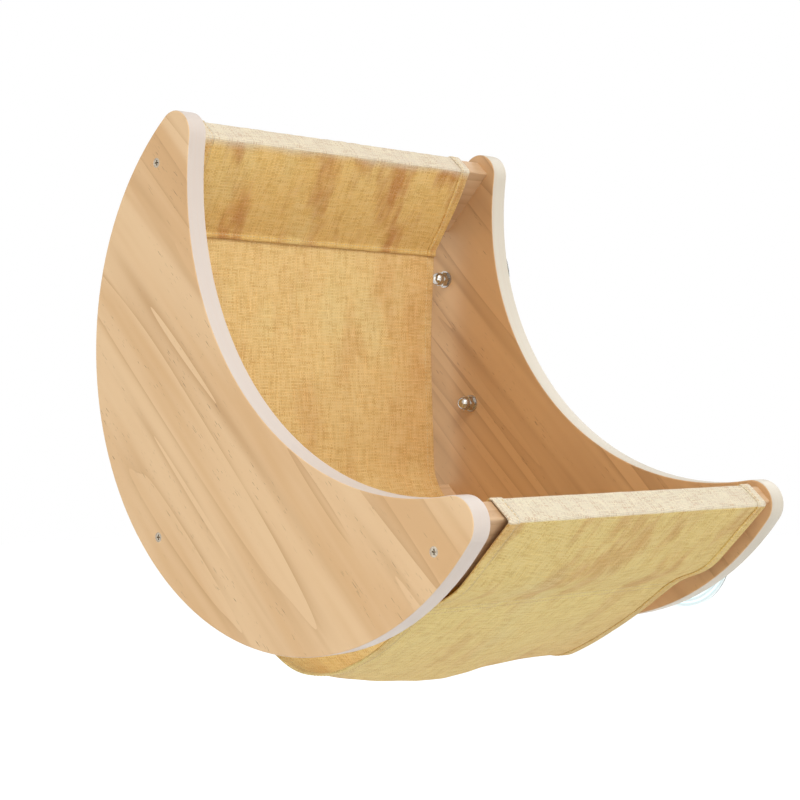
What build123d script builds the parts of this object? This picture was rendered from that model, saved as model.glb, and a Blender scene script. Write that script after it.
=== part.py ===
from build123d import *
import math
import os

# Window hammock for a small pet: two crescent pine panels joined by three flat pine rails,
# with a woven cloth sling between them, held to a window pane by four suction cups.
# Frame: +X towards the low front tip, +Z up, +Y through the window pane.
# The origin lies on the pane, at the centre of the panels' outer arc.
# All sizes in millimetres, all angles in degrees.

# Panels
PANEL_THICKNESS = 18.0
OUTER_RADIUS = 240.0
PANEL_WAIST = 180.1
TIP_REACH = 30.3
TIP_RADIUS = 20.5
PANEL_EDGE_ROUND = 1.2
MOUTH_ANGLE = 45.0

# Rails
RAIL_THICKNESS = 18.0
RAIL_WIDTH = 74.0
RAIL_EDGE_MARGIN = 12.0
RAIL_EDGE_ROUND = 1.5
TOP_RAIL_TIP_GAP = 11.8
FRONT_RAIL_TIP_GAP = 5.8
INNER_WIDTH = 356.0

# Rail screws and dowels
SCREW_HEAD_DIAMETER = 8.0
SCREW_SHANK_DIAMETER = 4.0
SCREW_LENGTH = 50.0
SCREW_TIP_LENGTH = 6.0
SCREW_HEAD_SINK = 0.3
RECESS_SPAN = 4.6
RECESS_SLOT = 1.1
RECESS_DEPTH = 2.0
TOP_SCREW_OFFSET = -2.0
FRONT_SCREW_OFFSET = -4.5
DOWEL_DIAMETER = 8.0
DOWEL_LENGTH = 30.0
DOWEL_IN_PANEL = 12.0
DOWEL_SPACING = 24.0
DOWEL_CHAMFER = 1.0
DOWEL_END_CLEARANCE = 0.5

# Suction cups
CUP_STANDOFF = 18.0
CUP_DIAMETER = 104.0
CUP_LAND = 6.0
CUP_RIM_THICKNESS = 1.6
CUP_POCKET_DEPTH = 2.4
CUP_SKIRT_CROWN = 1.0
CUP_HUB_DIAMETER = 34.0
CUP_HUB_NECK = 10.0
CUP_HUB_ROUND = 2.0
# each cup's inset from the panel's outer edge, and its turn from the crescent's middle
CUPS = ((47.0, -68.8), (90.0, -28.0), (90.0, 28.0), (47.0, 68.8))

# Cup studs, washers and cap nuts, M8
STUD_DIAMETER = 8.0
STUD_BEVEL = 1.0
STUD_HEAD_DIAMETER = 20.0
STUD_HEAD_THICKNESS = 3.0
STUD_HEAD_COVER = 4.0
STUD_IN_NUT = 9.8
STUD_HOLE_CLEARANCE = 0.5
WASHER_DIAMETER = 16.0
WASHER_THICKNESS = 1.6
WASHER_HOLE_CLEARANCE = 0.2
NUT_ACROSS_FLATS = 13.0
NUT_HEIGHT = 15.0
NUT_HEX_HEIGHT = 6.5
NUT_DOME_DIAMETER = 12.5
NUT_BORE_DEPTH = 11.0
NUT_BEVEL_ANGLE = 30.0

# Sling: where its edges hang
CLOTH_THICKNESS = 1.2
CLOTH_NEAR_GAP = 3.0
CLOTH_FAR_GAP = 28.0
CLOTH_SKEW = 14.0
CLOTH_CLEARANCE = 0.4

# Sling: the sleeves round the top and the front rail
SEAM_LAP = 14.0
SEAM_GAP = 0.3
SEAM_BEND = 8.0
TOP_SLEEVE_SLACK = 19.0
TOP_SEAM_DROP = 9.5
FRONT_SLEEVE_STANDOFF = 4.0
FRONT_SEAM_INSET = 10.0
FRONT_SEAM_DROP = 32.0

# Sling: the bag between the back and the front rail
BAG_DEPTH = 110.3
NEAR_EDGE_LIFT = 25.5
FAR_EDGE_LIFT = 5.0
FAR_FOLD_LIFT = 12.0
WALL_RIPPLE = 1.5
WALL_RIPPLE_WAVES = 1.1
SECTIONS = 7
# each point's place from the back rail to the front seam, its share of the depth,
# and its share of the edges' lift
BAG_POINTS = ((0.13, 0.43, 0.4), (0.27, 0.81, 0.9), (0.42, 1.0, 1.0), (0.59, 0.80, 0.2), (0.79, 0.54, -0.1))
# a soft corner's arc reaches over this share of its shorter run
SOFT_REACH = 0.45
SOFT = None

# Fits
RUNNING_CLEARANCE = 0.05

# Depths along Y
WINDOW_PANEL_OUTER = -CUP_STANDOFF
WINDOW_PANEL_INNER = WINDOW_PANEL_OUTER - PANEL_THICKNESS
ROOM_PANEL_INNER = WINDOW_PANEL_INNER - INNER_WIDTH
ROOM_PANEL_OUTER = ROOM_PANEL_INNER - PANEL_THICKNESS
STUD_HEAD_BACK = -STUD_HEAD_COVER
STUD_END = WINDOW_PANEL_INNER - WASHER_THICKNESS - STUD_IN_NUT
CLOTH_WIDTH = INNER_WIDTH - CLOTH_NEAR_GAP - CLOTH_FAR_GAP
# the cloth's middle lies this far off a rail, and folds round the rail's eased edge
CLOTH_OFF = CLOTH_CLEARANCE + CLOTH_THICKNESS / 2
FOLD_RADIUS = RAIL_EDGE_ROUND + CLOTH_OFF

# Radii and places of the rails
RAIL_OUTER = OUTER_RADIUS - RAIL_EDGE_MARGIN
RAIL_INNER = RAIL_OUTER - RAIL_THICKNESS
RAIL_RADIUS = RAIL_OUTER - RAIL_THICKNESS / 2
TIP_END = TIP_REACH + TIP_RADIUS
TOP_RAIL_CENTRE = TIP_END - TOP_RAIL_TIP_GAP - RAIL_WIDTH / 2
FRONT_RAIL_CENTRE = TIP_END - FRONT_RAIL_TIP_GAP - RAIL_WIDTH / 2
# each rail's turn from the mouth, the turn of its width, its centre and its screw's offset
RAILS = {
    "top": (90, 0, TOP_RAIL_CENTRE, TOP_SCREW_OFFSET),
    "back": (180, -90, 0.0, 0.0),
    "front": (-90, 0, FRONT_RAIL_CENTRE, FRONT_SCREW_OFFSET),
}

ON_FLOOR = (Align.CENTER, Align.CENTER, Align.MIN)


def polar(radius, turn_from_mouth):
    """A point in the crescent's plane as (x, z)."""
    turn = math.radians(MOUTH_ANGLE + turn_from_mouth)
    return Vector(radius * math.cos(turn), radius * math.sin(turn))


def on_rail(name, radius, along):
    """A point (x, z) at a radius, and at a place along the width from the rail's centre."""
    turn, width_turn, centre, _ = RAILS[name]
    return polar(radius, turn) + polar(centre + along, width_turn)


def upright(spot, y, outward=1):
    """A plane at a spot (x, z), with its normal along Y, or against it for outward = -1."""
    return Plane(origin=(spot.X, y, spot.Y), x_dir=(1, 0, 0), z_dir=(0, outward, 0))


def rod(spot, y_low, y_high, diameter):
    """A round bar along Y between two depths."""
    return upright(spot, y_low) * Cylinder(diameter / 2, y_high - y_low, align=ON_FLOOR)


# Crescent panels

def crescent_face():
    """Two arcs joined by two round tips, symmetric about the mouth's line."""
    mouth = polar(1, 0)
    side = polar(1, 90)
    tip_from_centre = OUTER_RADIUS - TIP_RADIUS
    tip_aside = math.sqrt(tip_from_centre**2 - TIP_REACH**2)
    # the inner arc passes the waist and touches both tips
    waist_place = PANEL_WAIST - OUTER_RADIUS
    back = waist_place - TIP_REACH
    inner_radius = (back**2 + tip_aside**2 - TIP_RADIUS**2) / (2 * (TIP_RADIUS - back))
    inner_centre = mouth * (inner_radius + waist_place)
    tips = []
    for hand in (1, -1):
        tip = mouth * TIP_REACH + side * tip_aside * hand
        outward = tip.normalized()
        inward = (inner_centre - tip).normalized()
        tips.append([tip + turn * TIP_RADIUS for turn in (outward, (outward + inward).normalized(), inward)])
    upper, lower = tips
    return make_face([
        ThreePointArc(upper[0], mouth * -OUTER_RADIUS, lower[0]),
        ThreePointArc(*lower),
        ThreePointArc(lower[2], mouth * waist_place, upper[2]),
        ThreePointArc(*upper[::-1]),
    ])


def plain_panel(y_low):
    """A crescent board with eased edges, from y_low towards the pane."""
    flat = Plane(origin=(0, y_low, 0), x_dir=(1, 0, 0), z_dir=(0, -1, 0)) * crescent_face()
    board = extrude(flat, amount=-PANEL_THICKNESS)
    return fillet(board.edges(), PANEL_EDGE_ROUND)


def room_panel():
    return plain_panel(ROOM_PANEL_OUTER) - NEAR_HOLES


def window_panel():
    diameter = STUD_DIAMETER + 2 * STUD_HOLE_CLEARANCE
    stud_holes = [rod(spot, WINDOW_PANEL_INNER, WINDOW_PANEL_OUTER, diameter) for spot in CUP_SPOTS]
    return plain_panel(WINDOW_PANEL_INNER) - FAR_HOLES - stud_holes


# Screws and dowels at the rail ends

def screw_spot(name):
    return on_rail(name, RAIL_RADIUS, RAILS[name][3])


def dowel_spots(name):
    """The dowels stand one on each side of the screw."""
    return [on_rail(name, RAIL_RADIUS, RAILS[name][3] + side * DOWEL_SPACING) for side in (-1, 1)]


def screw_body(grow=0.0):
    """A countersunk screw's turned shape on the Z axis, head up, its face at z = 0."""
    head = SCREW_HEAD_DIAMETER / 2 + grow
    shank = SCREW_SHANK_DIAMETER / 2 + grow
    cone_end = -SCREW_HEAD_SINK - (SCREW_HEAD_DIAMETER - SCREW_SHANK_DIAMETER) / 2
    end = -SCREW_LENGTH - grow
    profile = make_face(Polyline(
        (0, -SCREW_HEAD_SINK), (head, -SCREW_HEAD_SINK), (shank, cone_end),
        (shank, end + SCREW_TIP_LENGTH), (0, end), close=True))
    return revolve(Plane.XZ * profile, Axis.Z)


def rail_screw(spot, y_face, outward):
    """A countersunk wood screw with a cross recess, driven from a panel's face."""
    body = screw_body()
    for span, slot in ((RECESS_SPAN, RECESS_SLOT), (RECESS_SLOT, RECESS_SPAN)):
        body -= Pos(0, 0, -SCREW_HEAD_SINK - RECESS_DEPTH) * Box(span, slot, RECESS_DEPTH, align=ON_FLOOR)
    return upright(spot, y_face, outward) * body


def screw_hole(spot, y_face, outward):
    """The countersunk hole that a screw fills, through a panel and into a rail's end."""
    mouth = Pos(0, 0, -SCREW_HEAD_SINK) * Cylinder(
        SCREW_HEAD_DIAMETER / 2 + RUNNING_CLEARANCE, 2 * SCREW_HEAD_SINK, align=ON_FLOOR)
    return upright(spot, y_face, outward) * (screw_body(RUNNING_CLEARANCE) + mouth)


def dowel_span(y_face, into_rail):
    """The depths of a dowel's two ends at a panel's inner face."""
    in_rail = y_face + into_rail * (DOWEL_LENGTH - DOWEL_IN_PANEL)
    in_panel = y_face - into_rail * DOWEL_IN_PANEL
    return min(in_rail, in_panel), max(in_rail, in_panel)


def end_holes(y_inner, y_outer):
    """Every hole that the rail ends' screws and dowels need at one panel."""
    outward = 1 if y_outer > y_inner else -1
    low, high = dowel_span(y_inner, -outward)
    low -= DOWEL_END_CLEARANCE
    high += DOWEL_END_CLEARANCE
    holes = []
    for name in RAILS:
        holes.append(screw_hole(screw_spot(name), y_outer, outward))
        holes += [rod(spot, low, high, DOWEL_DIAMETER + 2 * RUNNING_CLEARANCE) for spot in dowel_spots(name)]
    return holes


NEAR_HOLES = end_holes(ROOM_PANEL_INNER, ROOM_PANEL_OUTER)
FAR_HOLES = end_holes(WINDOW_PANEL_INNER, WINDOW_PANEL_OUTER)
CUP_SPOTS = [polar(OUTER_RADIUS - inset, 180 + turn) for inset, turn in CUPS]


def rail_screws(y_outer, outward):
    return [rail_screw(screw_spot(name), y_outer, outward) for name in RAILS]


def rail_dowels(name):
    """The four dowels of one rail, two at each end."""
    pins = []
    for y_face, into_rail in ((ROOM_PANEL_INNER, 1), (WINDOW_PANEL_INNER, -1)):
        for spot in dowel_spots(name):
            pin = rod(spot, *dowel_span(y_face, into_rail), DOWEL_DIAMETER)
            pins.append(chamfer(pin.edges().filter_by(GeomType.CIRCLE), DOWEL_CHAMFER))
    return pins


# Rails

def rail(name):
    """A flat board between the panels, its width square to the radius that it stands on."""
    centre = on_rail(name, RAIL_RADIUS, 0)
    radial = polar(1, RAILS[name][0])
    middle = Plane(origin=(centre.X, (ROOM_PANEL_INNER + WINDOW_PANEL_INNER) / 2, centre.Y),
                   x_dir=(radial.X, 0, radial.Y), z_dir=(0, 1, 0))
    board = Box(RAIL_THICKNESS, RAIL_WIDTH, INNER_WIDTH)
    board = fillet(board.edges().filter_by(Axis.Z), RAIL_EDGE_ROUND)
    return middle * board - NEAR_HOLES - FAR_HOLES


# Suction cups and their hardware

def turned(outline, spot):
    """A solid turned about an axis along Y, from an outline of radius and depth y."""
    return Pos(spot.X, 0, spot.Y) * revolve(make_face(outline), Axis.Y)


def cup_stud(spot, grow=0.0):
    """The stud with its flat head, or the cavity that it fills in the cup's hub."""
    head = STUD_HEAD_DIAMETER / 2 + grow
    shank = STUD_DIAMETER / 2 + grow
    neck = STUD_HEAD_BACK - STUD_HEAD_THICKNESS
    return turned(Polyline(
        (0, STUD_HEAD_BACK), (head, STUD_HEAD_BACK), (head, neck), (shank, neck),
        (shank, STUD_END + STUD_BEVEL), (shank - STUD_BEVEL, STUD_END), (0, STUD_END), close=True), spot)


def suction_cup(spot):
    """A clear soft disc on the pane: flat land, shallow pocket, thin skirt and a thick hub."""
    rim = CUP_DIAMETER / 2
    land = rim - CUP_LAND
    hub = CUP_HUB_DIAMETER / 2
    face = -CUP_STANDOFF
    foot = face + CUP_HUB_NECK
    crown = (foot - CUP_RIM_THICKNESS) / 2 + CUP_SKIRT_CROWN
    shoulder = CUP_HUB_ROUND * (1 - math.sqrt(0.5))
    cup = turned([
        Polyline((0, face), (0, -CUP_POCKET_DEPTH), (land, 0), (rim, 0), (rim, -CUP_RIM_THICKNESS)),
        ThreePointArc((rim, -CUP_RIM_THICKNESS), ((rim + hub) / 2, crown), (hub, foot)),
        Line((hub, foot), (hub, face + CUP_HUB_ROUND)),
        ThreePointArc((hub, face + CUP_HUB_ROUND), (hub - shoulder, face + shoulder), (hub - CUP_HUB_ROUND, face)),
        Line((hub - CUP_HUB_ROUND, face), (0, face)),
    ], spot)
    return cup - cup_stud(spot, RUNNING_CLEARANCE)


def cup_washer(spot):
    hole = STUD_DIAMETER / 2 + WASHER_HOLE_CLEARANCE
    outer = WASHER_DIAMETER / 2
    back = WINDOW_PANEL_INNER - WASHER_THICKNESS
    return turned(Polyline(
        (hole, WINDOW_PANEL_INNER), (outer, WINDOW_PANEL_INNER), (outer, back), (hole, back), close=True), spot)


def cap_nut(spot):
    """A domed cap nut: a hexagon with bevelled corners, a round dome and a blind bore."""
    dome_radius = NUT_DOME_DIAMETER / 2
    shoulder = NUT_HEIGHT - dome_radius
    flat = NUT_ACROSS_FLATS / 2
    corner = NUT_ACROSS_FLATS / math.sqrt(3)
    bevel = (corner - flat) * math.tan(math.radians(NUT_BEVEL_ANGLE))
    bevelled = revolve(Plane.XZ * make_face(Polyline(
        (0, 0), (flat, 0), (corner, bevel), (corner, NUT_HEX_HEIGHT - bevel),
        (flat, NUT_HEX_HEIGHT), (0, NUT_HEX_HEIGHT), close=True)), Axis.Z)
    hexagon = extrude(RegularPolygon(flat, 6, major_radius=False), NUT_HEX_HEIGHT) & bevelled
    neck = extrude(Circle(dome_radius), shoulder)
    dome = Pos(0, 0, shoulder) * Sphere(dome_radius)
    bore = extrude(Circle(STUD_DIAMETER / 2 + RUNNING_CLEARANCE), NUT_BORE_DEPTH)
    return upright(spot, WINDOW_PANEL_INNER - WASHER_THICKNESS, -1) * (hexagon + neck + dome - bore)


# Sling

def top_sleeve():
    """Route from the hem, up in front of the top rail, over it and down to the seam."""
    half = RAIL_WIDTH / 2
    lap = Vector(SEAM_GAP + CLOTH_THICKNESS, 0)
    bulge = RAIL_INNER - TOP_SLEEVE_SLACK
    seam = on_rail("top", bulge, -half - TOP_SEAM_DROP)
    return [
        (seam + lap - Vector(0, SEAM_LAP), SOFT),
        (seam + lap, SOFT),
        (on_rail("top", bulge - CLOTH_OFF, -half * 0.54), SOFT),
        (on_rail("top", RAIL_INNER - TOP_SLEEVE_SLACK * 0.7, half * 0.12), SOFT),
        (on_rail("top", RAIL_INNER - CLOTH_OFF, half + CLOTH_OFF), FOLD_RADIUS),
        (on_rail("top", RAIL_OUTER + CLOTH_OFF, half + CLOTH_OFF), FOLD_RADIUS),
        (on_rail("top", RAIL_OUTER + CLOTH_OFF, -half - CLOTH_OFF), FOLD_RADIUS),
        (seam, SEAM_BEND),
    ]


def front_sleeve():
    """Route from the seam, up outside the front rail, over it and down to the hem."""
    half = RAIL_WIDTH / 2
    outside = RAIL_OUTER + FRONT_SLEEVE_STANDOFF + CLOTH_THICKNESS / 2
    seam = on_rail("front", RAIL_OUTER - FRONT_SEAM_INSET, -half - FRONT_SEAM_DROP)
    hem = seam + Vector(-1, 2).normalized() * 2 * (SEAM_GAP + CLOTH_THICKNESS)
    return [
        (seam, SOFT),
        (on_rail("front", outside, -half - 3 * CLOTH_OFF), SOFT),
        (on_rail("front", outside, half + 2 * CLOTH_OFF), FOLD_RADIUS),
        (on_rail("front", RAIL_INNER - CLOTH_OFF, half + CLOTH_OFF), FOLD_RADIUS),
        (on_rail("front", RAIL_INNER - CLOTH_OFF, -half - CLOTH_OFF), SEAM_BEND),
        (hem, SOFT),
        (hem + Vector(-2, -1).normalized() * SEAM_LAP, SOFT),
    ]


def hanging_sheet(across, seam_top, seam_front):
    """Route down the back, round inside the back rail and along the bag to the front seam."""
    half = RAIL_WIDTH / 2
    upper = on_rail("back", RAIL_INNER - 2.5 * CLOTH_OFF, -half)
    lower = on_rail("back", RAIL_INNER - 2.5 * CLOTH_OFF, half)
    drop = seam_top.Y - upper.Y
    ripple = WALL_RIPPLE * math.sin(2 * math.pi * WALL_RIPPLE_WAVES * across)
    near, far = max(0.0, -across), max(0.0, across)
    lift = NEAR_EDGE_LIFT * near**2 + FAR_EDGE_LIFT * far**2 + FAR_FOLD_LIFT * far * (1 - far**2)
    run = seam_front.X - lower.X
    wall = [
        Vector(upper.X - CLOTH_OFF + ripple, upper.Y + drop * 0.66),
        Vector(upper.X + CLOTH_OFF, upper.Y + drop * 0.2),
    ]
    bag = [Vector(lower.X + place * run, lower.Y - depth * BAG_DEPTH + share * lift)
           for place, depth, share in BAG_POINTS]
    return [(point, SOFT) for point in [*wall, upper, lower, *bag]]


def soft_radius(before, point, after):
    """The radius of a soft corner's arc, as large as its runs allow."""
    shorter = min((point - before).length, (after - point).length)
    turn = math.radians((point - before).get_angle(after - point))
    return SOFT_REACH * shorter / math.tan(turn / 2)


def strip_outline(route):
    """The two sides of a strip of cloth along a route, as points and arc radii in order."""
    half = CLOTH_THICKNESS / 2
    points = [point for point, _ in route]
    runs = [(after - before).normalized() for before, after in zip(points, points[1:])]
    left, right = [], []
    for i, (point, radius) in enumerate(route):
        first, last = runs[max(i - 1, 0)], runs[min(i, len(runs) - 1)]
        square = Vector(-first.Y, first.X)
        mitre = (square + Vector(-last.Y, last.X)).normalized()
        mitre *= half / mitre.dot(square)
        at_end = i in (0, len(runs))
        if radius is SOFT and not at_end:
            radius = soft_radius(points[i - 1], point, points[i + 1])
        bend = math.copysign(half, first.X * last.Y - first.Y * last.X)
        left.append((point + mitre, 0 if at_end else radius - bend))
        right.append((point - mitre, 0 if at_end else radius + bend))
    return left + right[::-1]


def rounded_wire(corners):
    """A closed wire of straight runs and tangent arcs through (point, radius) corners."""
    joints = []
    for i, (point, radius) in enumerate(corners):
        before = (corners[i - 1][0] - point).normalized()
        after = (corners[(i + 1) % len(corners)][0] - point).normalized()
        half = math.radians(before.get_angle(after) / 2)
        reach = radius / math.tan(half)
        middle = (before + after).normalized() * radius * (1 / math.sin(half) - 1)
        joints.append((point + before * reach, point + middle, point + after * reach))
    edges = []
    for i, (start, crown, end) in enumerate(joints):
        if (end - start).length > 0:
            edges.append(Edge.make_three_point_arc(start, crown, end))
        edges.append(Edge.make_line(end, joints[(i + 1) % len(joints)][0]))
    return Wire(edges)


def sling():
    """The cloth: a sleeve sewn round the top and the front rail, and the sheet between them."""
    middle = ROOM_PANEL_INNER + CLOTH_NEAR_GAP + (CLOTH_WIDTH + CLOTH_SKEW) / 2
    slope = CLOTH_SKEW / (2 * RAIL_RADIUS)
    aside = polar(1, -90)
    top, front = top_sleeve(), front_sleeve()
    faces = []
    for i in range(SECTIONS):
        across = 2 * i / (SECTIONS - 1) - 1
        y = middle + across * CLOTH_WIDTH / 2
        route = top + hanging_sheet(across, top[-1][0], front[0][0]) + front
        corners = [(Vector(p.X, y + slope * p.dot(aside), p.Y), radius) for p, radius in strip_outline(route)]
        faces.append(Face(rounded_wire(corners)))
    return loft(faces)


def write(name, solids):
    shape = Compound(children=solids) if isinstance(solids, list) else solids
    export_step(shape, f"parts/{name}.step")


def main():
    os.makedirs("parts", exist_ok=True)
    write("room_side_panel", room_panel())
    write("window_side_panel", window_panel())
    for name in RAILS:
        write(f"{name}_rail", rail(name))
        write(f"{name}_rail_dowels", rail_dowels(name))
    write("room_side_rail_screws", rail_screws(ROOM_PANEL_OUTER, -1))
    write("window_side_rail_screws", rail_screws(WINDOW_PANEL_OUTER, 1))
    write("sling", sling())
    for number, spot in enumerate(CUP_SPOTS, start=1):
        write(f"cup_{number}_suction_cup", suction_cup(spot))
        write(f"cup_{number}_stud", cup_stud(spot))
        write(f"cup_{number}_washer", cup_washer(spot))
        write(f"cup_{number}_cap_nut", cap_nut(spot))


main()
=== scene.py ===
import math

import bpy
from mathutils import Matrix, Vector, noise


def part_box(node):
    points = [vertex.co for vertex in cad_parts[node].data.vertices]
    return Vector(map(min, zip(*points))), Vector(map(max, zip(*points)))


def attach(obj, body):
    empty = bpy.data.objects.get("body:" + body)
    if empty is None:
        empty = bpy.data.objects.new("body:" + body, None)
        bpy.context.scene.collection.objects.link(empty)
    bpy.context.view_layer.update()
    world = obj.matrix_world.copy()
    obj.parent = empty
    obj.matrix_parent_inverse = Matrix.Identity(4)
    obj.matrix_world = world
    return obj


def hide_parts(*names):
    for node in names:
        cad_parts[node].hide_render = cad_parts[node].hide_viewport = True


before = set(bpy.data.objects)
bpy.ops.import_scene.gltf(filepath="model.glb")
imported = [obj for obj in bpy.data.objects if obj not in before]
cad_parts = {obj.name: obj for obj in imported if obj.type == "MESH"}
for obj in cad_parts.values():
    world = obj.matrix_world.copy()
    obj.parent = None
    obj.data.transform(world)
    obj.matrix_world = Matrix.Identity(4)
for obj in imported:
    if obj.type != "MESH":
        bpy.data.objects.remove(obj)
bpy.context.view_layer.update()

# Window hammock: crescent pine sides, pine rails, a woven sling and suction cups.
# Everything is in metres in the frame's own axes: +X to the front tip, +Z up, +Y through the pane.

# Camera, solved from the outlines of the two side panels
CAMERA_PLACE = Vector((1.047348, -1.355725, -0.057089))
CAMERA_AZIMUTH = math.radians(44.2826)
CAMERA_RISE = math.radians(0.5429)
CAMERA_ROLL = math.radians(-0.36888)
CAMERA_LENS = 82.568
FLOOR_LEVEL = -0.62
FLOOR_HALF = 6.0

# Wood
RAIL_THICKNESS = 0.018
RAIL_WIDTH = 0.074
RAIL_ROUND = 0.0015
STAVE_WIDTH = 0.062
RING_SPACING = 0.014

# Cloth
CLOTH_THICKNESS = 0.0009
CLOTH_OFF = 0.001
NEAR_GAP = 0.003
FAR_GAP = 0.028
SKEW = 0.014
SEAM_LAP = 0.0055
SEAM_GAP = 0.0012
SEAM_BEND = 0.008
TOP_SLACK = 0.019
TOP_SEAM_DROP = 0.0095
FRONT_STANDOFF = 0.0046
FRONT_SEAM_INSET = 0.010
FRONT_SEAM_DROP = 0.032
BAG_DEPTH = 0.1103
NEAR_EDGE_LIFT = 0.0255
FAR_EDGE_LIFT = 0.005
FAR_FOLD_LIFT = 0.012
BAG_POINTS = ((0.13, 0.43, 0.4), (0.27, 0.81, 0.9), (0.42, 1.0, 1.0), (0.59, 0.80, 0.2), (0.79, 0.54, -0.1))
SOFT_REACH = 0.45
SOFT = None
GRID_STEP = 0.0032
COLUMNS = 92
HEM_WIDTH = 0.011
HEM_OFFSET = 0.00105
THREAD_PITCH = 0.0014
THREAD_WANDER = 0.0016
STITCH_LENGTH = 0.0027
STITCH_PITCH = 0.0036
STITCH_RADIUS = 0.00038
STITCH_SIDES = 6
STITCH_RINGS = ((0.0, 0.25), (0.28, 1.0), (0.72, 1.0), (1.0, 0.25))
STITCH_INSET = 0.002
SEAM_SHARE = 0.965
SEAM_STEPS = 120


# Materials: helpers

def add(tree, kind, inputs=None, **settings):
    """A node with its settings and inputs. An input is a value, or a socket to link."""
    node = tree.nodes.new(kind)
    for name, value in settings.items():
        setattr(node, name, value)
    for name, value in (inputs or {}).items():
        socket = node.inputs[name]
        if isinstance(value, bpy.types.NodeSocket):
            tree.links.new(value, socket)
        else:
            socket.default_value = value
    return node


def maths(tree, operation, *values):
    """The result of one operation on values or sockets."""
    return add(tree, "ShaderNodeMath", dict(enumerate(values)), operation=operation).outputs[0]


def times(tree, first, second):
    return maths(tree, "MULTIPLY", first, second)


def plus(tree, first, second):
    return maths(tree, "ADD", first, second)


def minus(tree, first, second):
    return maths(tree, "SUBTRACT", first, second)


def blend_colours(tree, factor, first, second):
    """The first colour at factor 0 and the second at 1."""
    node = add(tree, "ShaderNodeMix", data_type="RGBA", clamp_factor=True)
    for index, value in ((0, factor), (6, first), (7, second)):
        if isinstance(value, bpy.types.NodeSocket):
            tree.links.new(value, node.inputs[index])
        elif index == 0:
            node.inputs[0].default_value = value
        else:
            node.inputs[index].default_value = (*value, 1)
    return node.outputs[2]


def step_mask(tree, value, low, high):
    """0 below low, 1 above high and a soft slope between."""
    node = add(tree, "ShaderNodeMapRange", {"Value": value, "From Min": low, "From Max": high}, clamp=True)
    node.interpolation_type = "SMOOTHSTEP"
    return node.outputs["Result"]


def stretched(tree, vector, scale, shift=(0, 0, 0)):
    """A vector scaled by its own amount along each axis."""
    return add(tree, "ShaderNodeMapping", {"Vector": vector, "Scale": scale, "Location": shift}).outputs[0]


def scaled(tree, vector, amount):
    """A vector or a colour times one number."""
    return add(tree, "ShaderNodeVectorMath", {0: vector, "Scale": amount}, operation="SCALE").outputs[0]


def noise_value(tree, vector, scale, detail=2.0, rough=0.5):
    settings = {"Vector": vector, "Scale": scale, "Detail": detail, "Roughness": rough}
    return add(tree, "ShaderNodeTexNoise", settings).outputs["Fac"]


def stretched_noise(tree, vector, scale, detail=2.0, rough=0.5, shift=(0, 0, 0)):
    """Noise with its own scale along each axis."""
    return noise_value(tree, stretched(tree, vector, scale, shift), 1.0, detail, rough)


def tinted(tree, mask, strength, first, second):
    """The first colour, with a share of the second where the mask is up."""
    return blend_colours(tree, times(tree, mask, strength), first, second)


def group(name, inputs, outputs):
    """An empty shader group with its named sockets, and its input and output nodes."""
    tree = bpy.data.node_groups.new(name, "ShaderNodeTree")
    for label, kind, value in inputs:
        socket = tree.interface.new_socket(label, in_out="INPUT", socket_type=kind)
        if value is not None:
            socket.default_value = value
    for label, kind in outputs:
        tree.interface.new_socket(label, in_out="OUTPUT", socket_type=kind)
    return tree, tree.nodes.new("NodeGroupInput"), tree.nodes.new("NodeGroupOutput")


def use(tree, grouped, inputs):
    """A node that holds a shader group, as its outputs. An input is a value, or a socket to link."""
    node = tree.nodes.new("ShaderNodeGroup")
    node.node_tree = grouped
    for name, value in inputs.items():
        if isinstance(value, bpy.types.NodeSocket):
            tree.links.new(value, node.inputs[name])
        else:
            node.inputs[name].default_value = value
    return node.outputs


def new_material(name, **values):
    """A material with its node tree and its main shader, whose inputs are set by name."""
    material = bpy.data.materials.new(name)
    material.use_nodes = True
    shader = material.node_tree.nodes["Principled BSDF"]
    for label, value in values.items():
        shader.inputs[label.replace("_", " ")].default_value = value
    return material, material.node_tree, shader


def emboss(tree, shader, height, strength, distance):
    """Shade a height map as relief."""
    bump = add(tree, "ShaderNodeBump", {"Height": height, "Strength": strength, "Distance": distance})
    tree.links.new(bump.outputs[0], shader.inputs["Normal"])


def feed(tree, shader, label, value):
    """Link a value to one of a shader's inputs."""
    tree.links.new(value, shader.inputs[label])


FLOAT, VECTOR = "NodeSocketFloat", "NodeSocketVector"


# Effects that several materials share

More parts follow.
